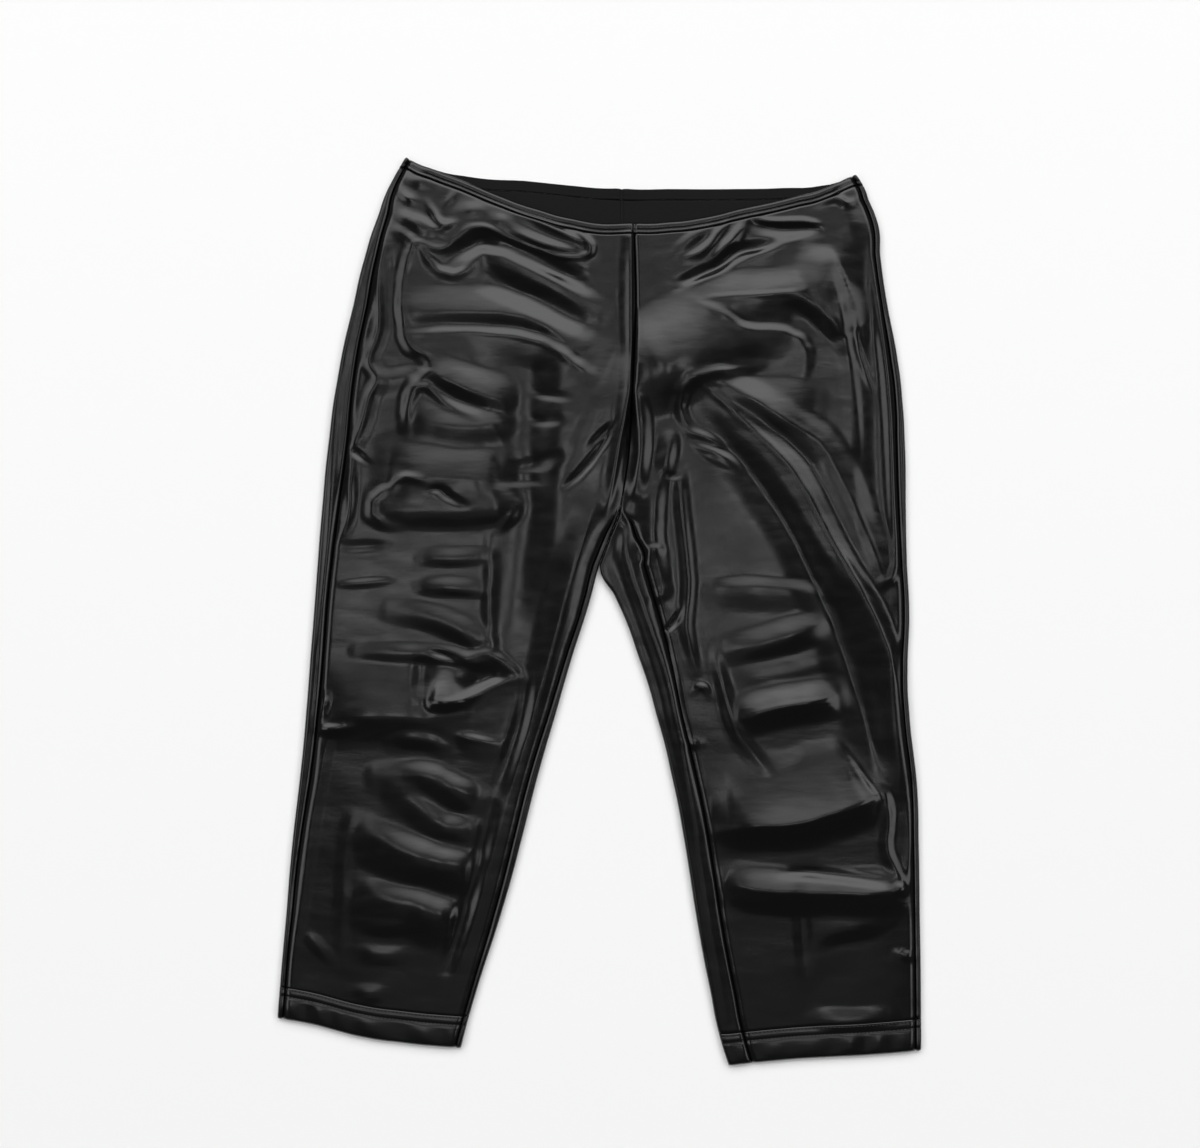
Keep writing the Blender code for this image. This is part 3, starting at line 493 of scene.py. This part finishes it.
def border(stations, column, y):
    return smooth_curve([row.y for row in stations], [getattr(row, column) for row in stations], y)


def height_on(points, x):
    return smooth_curve([p.x for p in points], [p.y for p in points], x)


def across_at(points, y):
    return smooth_curve([p.y for p in points], [p.x for p in points], y)


def side_edge(leg, y):
    return border(leg.side, "edge", y)


def side_seam(leg, y):
    return side_edge(leg, y) - leg.sign * border(leg.side, "strip", y)


def inner_edge(leg, y):
    edge = np.where(y < PARTING, border(leg.inner, "edge", y), across_at(CENTRE_BACK, y))
    return edge + leg.sign * np.where(y < CROTCH, SEAM_GAP, BACK_GAP) / 2.0


def inseam(leg, y):
    return inner_edge(leg, y) + leg.sign * border(leg.inner, "strip", y)


def front_inner_seam(leg, y):
    """The front's inner border: the inseam below the crotch, and the centre front above it."""
    centre = np.where(y < CROTCH, inner_edge(leg, y), across_at(CENTRE_FRONT, y))
    seam = inseam(leg, y)
    return seam + (centre - seam) * smoothstep(BORDER_LOW, BORDER_HIGH, y)


def inner_top(y):
    """The height on top of the leg's inner edge, which sinks towards the crotch."""
    return TOP_EDGE + (CROTCH_TOP - TOP_EDGE) * smoothstep(SINK_START, CROTCH, y)


def fold_rise(fold, x, y):
    """The fold's rise at each point, from the nearest place on its path."""
    crest = np.asarray(fold.path, float)
    knots = np.arange(len(crest))
    fine = np.linspace(0, knots[-1], PATH_STEPS * knots[-1] + 1)
    path = np.stack([smooth_curve(knots, crest[:, k], fine) for k in range(3)], axis=1)
    end = FOLD_END + FOLD_END_SHARE * max(fold.left, fold.right)
    reach = max(fold.left, fold.right, end)
    low, high = path[:, :2].min(axis=0) - reach, path[:, :2].max(axis=0) + reach
    near = (x > low[0]) & (x < high[0]) & (y > low[1]) & (y < high[1])
    px, py = x[near], y[near]
    nearest = np.full(px.shape, np.inf)
    rise, side, past = np.zeros(px.shape), np.zeros(px.shape), np.zeros(px.shape)
    last = len(path) - 2
    for n, ((ax, ay, a_rise), (bx, by, b_rise)) in enumerate(zip(path[:-1], path[1:])):
        run_x, run_y = bx - ax, by - ay
        run = np.hypot(run_x, run_y)
        along = ((px - ax) * run_x + (py - ay) * run_y) / run
        t = np.clip(along / run, 0.0, 1.0)
        away = np.hypot(px - ax - t * run_x, py - ay - t * run_y)
        closer = away < nearest
        nearest = np.where(closer, away, nearest)
        rise = np.where(closer, a_rise + t * (b_rise - a_rise), rise)
        side = np.where(closer, (run_x * (py - ay) - run_y * (px - ax)) / run, side)
        beyond = np.maximum(-along, 0.0) * (n == 0) + np.maximum(along - run, 0.0) * (n == last)
        past = np.where(closer, beyond, past)
    across = np.sqrt(np.maximum(nearest ** 2 - past ** 2, 0.0))
    width = np.where(side > 0.0, fold.left, fold.right)
    t = np.minimum(np.hypot(across / width, past / end), 1.0)
    rounding = CREST_ROUND / width
    keen = (1.0 - np.minimum(np.hypot(t, rounding) - rounding, 1.0)) ** 2
    rim = fold.rim * rise / np.abs(crest[:, 2]).max() * (1.0 - np.minimum(nearest / RIM_REACH, 1.0) ** 2) ** 2
    out = np.zeros(x.shape)
    out[near] = rise * (fold.keen * keen + (1.0 - fold.keen) * (1.0 - t * t) ** 2) + rim
    return out


def top_height(leg, x, y):
    """The outer face on top: slack cloth with its folds, and raised at the rolled edges."""
    folds = sum(fold_rise(fold, x, y) for fold in leg.folds)
    below_waist = height_on(WAIST_FRONT, x) - y
    above_hem = y - height_on(leg.hem, x)
    folds = folds * smoothstep(WAIST_LEVEL, WAIST_REACH, below_waist) * smoothstep(0.0, HEM_WIDTH, above_hem)
    rest = TOP_REST + RISE_BEND * np.maximum(y - RISE_START, 0.0) ** 2
    slack = TOP_LOWEST + np.logaddexp(0.0, (rest + folds - TOP_LOWEST) / SLACK_BLEND) * SLACK_BLEND
    reach = ROLL_REACH + RISE_ROOM * smoothstep(RISE_START, LENGTH, y)
    at_side = 1.0 - smoothstep(ROLL_FLAT, reach, np.abs(x - side_edge(leg, y)))
    edge = TOP_EDGE + SIDE_FOLDS * folds
    z = slack + (edge - slack) * at_side
    at_inner = 1.0 - smoothstep(ROLL_FLAT, ROLL_REACH, np.abs(x - inner_edge(leg, y)))
    at_inner = at_inner * (1.0 - smoothstep(INNER_FADE, CROTCH, y))
    return z + (inner_top(y) + INNER_FOLDS * folds - z) * at_inner


def seam_dip(distance, depth=STRIP_DIP, reach=STRIP_REACH):
    """How deep the cloth is at this distance from a seam: it dips ever more steeply."""
    t = np.minimum(np.abs(distance) / reach, 1.0)
    return depth * (1.0 - t) ** 2


def front_height(leg, x, y):
    """The front sinks to its seams, and at the crotch it passes over the ends of the backs."""
    z = top_height(leg, x, y)
    from_seam = np.abs(x - front_inner_seam(leg, y))
    above = smoothstep(CROTCH - UNROLL, CENTRE_FROM, y)
    opened = 1.0 - smoothstep(OPEN_UNTIL, CLOSED_FROM, y)
    reach = CENTRE_REACH + (OPEN_REACH - CENTRE_REACH) * opened
    over = CROTCH_OVER * (1.0 - smoothstep(OVER_NEAR, OVER_FAR, np.abs(y - CROTCH)))
    depth = np.clip(z - TOP_LOWEST - over, 0.0, CENTRE_DIP + (OPEN_DIP - CENTRE_DIP) * opened)
    z = z - seam_dip(from_seam, depth, reach) * above
    z = z - seam_dip(from_seam, SIDE_DIP, SIDE_REACH) * (1.0 - above)
    return np.maximum(z - seam_dip(x - side_seam(leg, y), SIDE_DIP, SIDE_REACH), TOP_LOWEST)


def row_height(row, x, leg, waist):
    """A row's height at x: level in the middle of the leg, and bent to the hem and the waist at the ends."""
    low = np.clip(1.0 - (row - HEM_WIDTH) / HEM_FADE, 0.0, 1.0) ** 2
    high = np.clip(1.0 - (LENGTH - CASING_WIDTH - row) / WAIST_FADE, 0.0, 1.0) ** 2
    return row + height_on(leg.hem, x) * low + (height_on(waist, x) - LENGTH) * high


def closer_at_ends(t):
    return t - NARROWING * np.sin(2.0 * np.pi * t) / (2.0 * np.pi)


def front_place(leg, across, row):
    """Points of the front: across is 0 at the inner seam and 1 at the side seam."""
    y = row.astype(float)
    for _ in range(ROW_ROUNDS):
        inner = front_inner_seam(leg, y) + leg.sign * SEAM_GAP / 2.0
        side = side_seam(leg, y) - leg.sign * SEAM_GAP / 2.0
        x = inner + (side - inner) * across
        y = row_height(row, x, leg, WAIST_FRONT)
    return x, y, front_height(leg, x, y)


def roll(start_x, inward, height, radius, angle):
    """A point of the rolled cloth, which leaves the ground at start_x, once it has turned by the angle.

    After half a turn it is at the height.
    """
    return start_x - inward * radius * np.sin(angle), height / 2.0 * (1.0 - np.cos(angle))


def side_part(leg, y, step):
    """The back at the side: step 0 to 1 on the roll, and 1 to 2 on top from the roll to the side seam."""
    radius = TOP_EDGE / 2.0
    start_x = side_edge(leg, y) - leg.sign * radius
    turned = np.minimum(step, 1.0)
    top = top_height(leg, start_x, y)
    x, z = roll(start_x, -leg.sign, top, radius, np.pi * turned)
    seam = side_seam(leg, y) + leg.sign * SEAM_GAP / 2.0
    on_top = np.maximum(step - 1.0, 0.0)
    x = x + (seam - start_x) * on_top
    z = np.where(step > 1.0, top_height(leg, x, y) - seam_dip(x - side_seam(leg, y)), z)
    return x, z


def inner_part(leg, y, step):
    """The back at the leg's inner edge, as at the side. Above the crotch it unrolls to the centre seam."""
    below = np.minimum(y, CROTCH - JUST_BELOW)
    tight = inner_top(below) / 2.0
    strip = np.abs(inseam(leg, below) - inner_edge(leg, below)) - SEAM_GAP / 2.0 - tight
    turn = np.pi * (1.0 - smoothstep(CROTCH, CROTCH + UNROLL, y)) + SMALL_TURN
    radius = np.pi * tight / turn
    quarter = np.minimum(turn, np.pi / 2.0)
    reach = (radius + UNROLL_ROOM * (y > CROTCH)) * np.sin(quarter) + strip * np.cos(quarter)
    start_x = inner_edge(leg, y) + leg.sign * reach
    rolled_x = inner_edge(leg, below) + leg.sign * tight
    height = np.where(y < CROTCH, top_height(leg, rolled_x, below), 2.0 * radius)
    x, z = roll(start_x, leg.sign, height, radius, turn * np.minimum(step, 1.0))
    on_top = np.maximum(step - 1.0, 0.0)
    along = strip * on_top
    seam = inseam(leg, y) - leg.sign * SEAM_GAP / 2.0
    top_x = start_x + (seam - start_x) * on_top
    top_z = top_height(leg, top_x, below) - seam_dip(top_x - inseam(leg, below))
    above = y > CROTCH
    x = np.where(on_top > 0.0, np.where(above, x - leg.sign * along * np.cos(turn), top_x), x)
    z = np.where(on_top > 0.0, np.where(above, z + along * np.sin(turn), top_z), z)
    return x, z


def back_place(leg, across, row):
    """Points of the back: across is 0 at the inner seam, 2 to 3 on the ground, and 5 at the side seam."""
    y = row.astype(float)
    for _ in range(ROW_ROUNDS):
        inner_x, inner_z = inner_part(leg, y, np.clip(2.0 - across, 0.0, 2.0))
        side_x, side_z = side_part(leg, y, np.clip(across - 3.0, 0.0, 2.0))
        x = inner_x + (side_x - inner_x) * np.clip(across - 2.0, 0.0, 1.0)
        y = row_height(row, x, leg, WAIST_BACK)
    from_seam = np.abs(x - across_at(CENTRE_BACK, y))
    allowance = ALLOWANCE_RISE * (1.0 - smoothstep(ALLOWANCE - ALLOWANCE_EDGE, ALLOWANCE, from_seam))
    allowance = allowance * smoothstep(*ALLOWANCE_NEAR, from_seam) * smoothstep(*ALLOWANCE_START, y)
    return x, y, inner_z + (side_z - inner_z) * np.clip(across - 2.0, 0.0, 1.0) + allowance


def softened(z, passes):
    """Heights averaged with their neighbours', so that no crest is sharper than the cloth can bend."""
    for _ in range(passes):
        z[1:-1] = (z[:-2] + 2.0 * z[1:-1] + z[2:]) / 4.0
        z[:, 1:-1] = (z[:, :-2] + 2.0 * z[:, 1:-1] + z[:, 2:]) / 4.0
    return z


def add_object(name, data, place=(0.0, 0.0, 0.0)):
    thing = bpy.data.objects.new(name, data)
    thing.location = place
    bpy.context.scene.collection.objects.link(thing)
    return thing


def add_mesh(name, verts, faces, material):
    mesh = bpy.data.meshes.new(name)
    mesh.from_pydata(verts, [], faces)
    mesh.materials.append(material)
    return add_object(name, mesh)


def add_shell(node, across, rows, place, wall, outer, inner, flip, relief):
    """A shell whose outer face place(across, row) gives. Without an inner finish it is open underneath."""
    grid_across, grid_row = np.meshgrid(across, rows)
    x, y, z = place(grid_across, grid_row)
    if inner is None:
        z = softened(z, SOFT_PASSES)
    z = z + relief(grid_row, x) * smoothstep(0.0, ON_TOP, z)
    height, width = x.shape
    verts = np.stack([(x - MIDDLE_X) * MM, (y - MIDDLE_Y) * MM, (z + LIFT) * MM], axis=-1).reshape(-1, 3)
    index = np.arange(height * width).reshape(height, width)
    faces = np.stack([index[:-1, :-1], index[:-1, 1:], index[1:, 1:], index[1:, :-1]], axis=-1).reshape(-1, 4)
    if flip:
        faces = faces[:, ::-1]
    piece = add_mesh(node + "_cloth", verts.tolist(), faces.tolist(), outer)
    piece.data.shade_smooth()
    if inner is not None:
        piece.data.materials.append(inner)
    solid = piece.modifiers.new("wall", "SOLIDIFY")
    solid.thickness = wall * MM
    solid.offset = -1.0
    solid.use_rim_only = inner is None
    solid.material_offset = 0 if inner is None else 1
    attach(piece, "root")
    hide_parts(node)
    return piece, (x, y, z)


def dent(kind, distance):
    """How much lower the cloth is at this distance from a dent's middle."""
    return -kind.depth * np.exp(-(distance / kind.width) ** 2)


def hem_relief(row, x):
    """The hem's two layers puff between its edge and the rows of stitches, here more and there less."""
    edge = dent(HEM_EDGE, row)
    rows = sum(dent(HEM_ROW, row - at) for at in HEM_STITCHES)
    bulges = np.sin(x / BULGE + BULGE_DRIFT * np.sin(x / DRIFT_LENGTH))
    puff = HEM_PUFF + HEM_UNEVEN * bulges * np.sin(x / SWELL_LENGTH + SWELL_START)
    return HEM_RISE + puff * np.sin(np.pi * np.clip(row / HEM_STITCHES[0], 0.0, 1.0)) + edge + rows


def casing_relief(row, x):
    """The casing is round at its top edge, and its stitches pull it in."""
    above = row - (LENGTH - CASING_WIDTH)
    stitched = dent(CASING_ROW, above - CASING_STITCHES)
    roll_over = -CASING_DROP * smoothstep(CASING_WIDTH - CASING_ROUND, CASING_WIDTH, above) ** 2
    lower = dent(CASING_BORDER, above)
    return CASING_RISE + stitched + roll_over + lower


def panel_relief(row, x):
    """A panel dips where it is sewn to the hem and to the casing."""
    return dent(PANEL_AT_HEM, row - HEM_WIDTH) + dent(PANEL_AT_CASING, LENGTH - CASING_WIDTH - row)


def capsule():
    """One stitch along x, as rings of points and quads."""
    turns = np.arange(STITCH_SIDES) * 2.0 * np.pi / STITCH_SIDES
    radii = [STITCH_RADIUS * ring.share for ring in STITCH_RINGS]
    points = [(STITCH * ring.along, radius * np.cos(a), radius * np.sin(a))
              for ring, radius in zip(STITCH_RINGS, radii) for a in turns]
    quads = []
    for n in range(len(STITCH_RINGS) - 1):
        low, high = n * STITCH_SIDES, (n + 1) * STITCH_SIDES
        for k in range(STITCH_SIDES):
            beside = (k + 1) % STITCH_SIDES
            quads.append((low + k, low + beside, high + beside, high + k))
    return np.array(points), quads


def add_stitches(name, line, material):
    """Stitches lying along a line of points."""
    steps = np.linalg.norm(np.diff(line, axis=0), axis=1)
    length = np.concatenate(((0.0,), np.cumsum(steps)))
    at = np.arange(STITCH_STEP, length[-1] - STITCH_STEP / 2.0, STITCH_STEP)
    place = [np.stack([np.interp(at + shift, length, line[:, k]) for k in range(3)], axis=1)
             for shift in (-STITCH / 2.0, 0.0, STITCH / 2.0)]
    points, quads = capsule()
    verts, faces = [], []
    for start, middle, end in zip(*place):
        along = (end - start) / np.linalg.norm(end - start)
        side = np.cross((0.0, 0.0, 1.0), along)
        side = side / np.linalg.norm(side)
        up = np.cross(along, side)
        first = len(verts)
        placed = [middle + p[0] * along + p[1] * side + p[2] * up for p in points]
        verts += [tuple((p - (MIDDLE_X, MIDDLE_Y, -LIFT)) * MM) for p in placed]
        faces += [tuple(first + k for k in quad) for quad in quads]
    piece = add_mesh(name, verts, faces, material)
    piece.data.shade_smooth()
    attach(piece, "root")
    return piece


def line_on(grid, rows, row):
    """The points of a shell's grid at a row."""
    return np.stack([[np.interp(row, rows, column) for column in axis.T] for axis in grid], axis=1)


def set_sockets(node, values):
    for socket, value in values.items():
        node.inputs[socket].default_value = value


def add_node(tree, kind, values, **feeds):
    """A node with these values on its sockets. feeds are the outputs that other sockets are linked to."""
    node = tree.nodes.new(kind)
    set_sockets(node, values)
    for socket, output in feeds.items():
        tree.links.new(output, node.inputs[socket])
    return node


def add_material(name, look, waves=()):
    """A material with this look and the waves' bumps, one on top of the other, and the waves' noise."""
    material = bpy.data.materials.new(name)
    material.use_nodes = True
    tree = material.node_tree
    shader = tree.nodes["Principled BSDF"]
    set_sockets(shader, look)
    heights = []
    for wave in waves:
        place = add_node(tree, "ShaderNodeTexCoord", {}).outputs["Object"]
        spread = add_node(tree, "ShaderNodeMapping", {"Scale": wave.stretch}, Vector=place).outputs["Vector"]
        grain = {"Scale": wave.scale, "Detail": wave.detail}
        heights.append(add_node(tree, "ShaderNodeTexNoise", grain, Vector=spread).outputs["Fac"])
    normal = {}
    for wave, height in zip(waves, heights):
        size = {"Strength": wave.strength, "Distance": wave.depth}
        normal = {"Normal": add_node(tree, "ShaderNodeBump", size, Height=height, **normal).outputs["Normal"]}
    for socket, output in normal.items():
        tree.links.new(output, shader.inputs[socket])
    return material, heights


def coated_cloth():
    """Black stretch knit under a glossy coating: smooth, with faint streaks across and a fine grain."""
    material, heights = add_material("coated_cloth", COATING_LOOK, COATING)
    tree = material.node_tree
    gloss = add_node(tree, "ShaderNodeMapRange", GLOSS, Value=heights[COATING.index(MOTTLE)])
    tree.links.new(gloss.outputs["Result"], tree.nodes["Principled BSDF"].inputs["Roughness"])
    return material


# Sizes that the pieces were cut to, in metres: the rectangle round the cut, and the cut's own area
Cut = namedtuple("Cut", "width length area", defaults=(None,))


def add_leg(leg, outer, inner, stitching):
    panel_rows = np.linspace(HEM_WIDTH + SEAM_GAP, LENGTH - CASING_WIDTH - SEAM_GAP, FRONT_ROWS + 1)
    back_rows = np.linspace(panel_rows[0], panel_rows[-1], BACK_ROWS + 1)
    hem_rows = np.linspace(0.0, HEM_WIDTH, HEM_ROWS + 1)
    right = leg.sign < 0.0
    front, back = partial(front_place, leg), partial(back_place, leg)
    parts = ("back_", "front_", "hem_back_", "hem_front_")
    back_name, front_name, hem_back_name, hem_front_name = [part + leg.name for part in parts]

    piece, _ = add_shell(
        back_name, BACK_ACROSS, back_rows, back, CLOTH, outer, inner, not right, panel_relief)
    piece, _ = add_shell(
        front_name, FRONT_ACROSS, panel_rows, front, CLOTH, outer, None, right, panel_relief)
    piece, _ = add_shell(
        hem_back_name, BACK_ACROSS, hem_rows, back, HEM, outer, inner, not right, hem_relief)
    piece, grid = add_shell(
        hem_front_name, FRONT_ACROSS, hem_rows, front, HEM, outer, inner, right, hem_relief)
    rows = [add_stitches(f"hem_stitches_{leg.name}_{n}", line_on(grid, hem_rows, at), stitching)
            for n, at in enumerate(HEM_STITCHES)]


def add_waist(outer, inner, stitching):
    rows = np.linspace(LENGTH - CASING_WIDTH, LENGTH, WAIST_ROWS + 1)

    def both(place, across):
        """The casing over both legs: the right leg's columns from its side, and then the left leg's."""
        columns = np.concatenate((across[::-1], across))
        right = np.arange(len(columns)) < len(across)

        def placed(column, row):
            there = columns[column.astype(int)]
            return [np.where(right[column.astype(int)], a, b)
                    for a, b in zip(place(RIGHT, there, row), place(LEFT, there, row))]
        return np.arange(len(columns)), placed

    columns, placed = both(back_place, BACK_ACROSS)
    piece, _ = add_shell("waist_back", columns, rows, placed, CASING, outer, inner, True, casing_relief)
    columns, placed = both(front_place, FRONT_ACROSS)
    piece, grid = add_shell("waist_front", columns, rows, placed, CASING, outer, inner, False, casing_relief)
    row = add_stitches("waist_stitches", line_on(grid, rows, rows[0] + CASING_STITCHES), stitching)


def add_floor():
    half = FLOOR / 2.0
    corners = [(-half, -half, 0), (half, -half, 0), (half, half, 0), (-half, half, 0)]
    paper, _ = add_material("paper", PAPER_LOOK)
    floor = add_mesh("floor", corners, [(0, 1, 2, 3)], paper)
    floor.location = (0.0, 0.0, cad_low.z - FLOOR_DROP)


def add_light(name, x, y, width, depth, radiance):
    """A softbox that hangs level above the cloth and shines down."""
    data = bpy.data.lights.new(name, "AREA")
    data.shape = "RECTANGLE"
    data.size, data.size_y = width, depth
    data.energy = radiance * width * depth * np.pi
    add_object(name, data, (x, y, LIGHT_HEIGHT))


def add_camera():
    data = bpy.data.cameras.new("camera")
    data.sensor_width = SENSOR
    data.lens = SENSOR * (CAMERA_HEIGHT - TOP_REST * MM) / VIEW_WIDTH
    bpy.context.scene.camera = add_object("camera", data, (VIEW_X, VIEW_Y, CAMERA_HEIGHT))


FRONT_ACROSS = closer_at_ends(np.linspace(0.0, 1.0, FRONT_COLUMNS + 1))
BACK_STEPS = (STRIP_STEPS, ROLL_STEPS, GROUND_COLUMNS, ROLL_STEPS, STRIP_STEPS)
BACK_ACROSS = np.concatenate(
    [np.linspace(n, n + 1.0, steps + 1)[min(n, 1):] for n, steps in enumerate(BACK_STEPS)])

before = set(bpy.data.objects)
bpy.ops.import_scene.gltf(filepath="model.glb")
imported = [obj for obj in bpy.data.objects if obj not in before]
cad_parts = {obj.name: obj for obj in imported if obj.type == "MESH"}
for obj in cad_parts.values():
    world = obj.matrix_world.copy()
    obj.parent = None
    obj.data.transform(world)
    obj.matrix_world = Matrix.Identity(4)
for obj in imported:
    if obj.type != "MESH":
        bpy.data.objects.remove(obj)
cad_low, cad_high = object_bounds()

add_camera()
add_floor()
for box in SOFTBOXES:
    add_light(*box)
world = bpy.data.worlds.new("world")
world.use_nodes = True
world.node_tree.nodes["Background"].inputs["Color"].default_value = (AMBIENT, AMBIENT, AMBIENT, 1.0)
bpy.context.scene.world = world
bpy.context.scene.view_settings.view_transform = "Standard"

cloth = coated_cloth()
lining, _ = add_material("inside_cloth", LINING_LOOK, (KNIT,))
stitching, _ = add_material("thread", THREAD_LOOK, (TWIST,))
for leg in (RIGHT, LEFT):
    add_leg(leg, cloth, lining, stitching)
add_waist(cloth, lining, stitching)
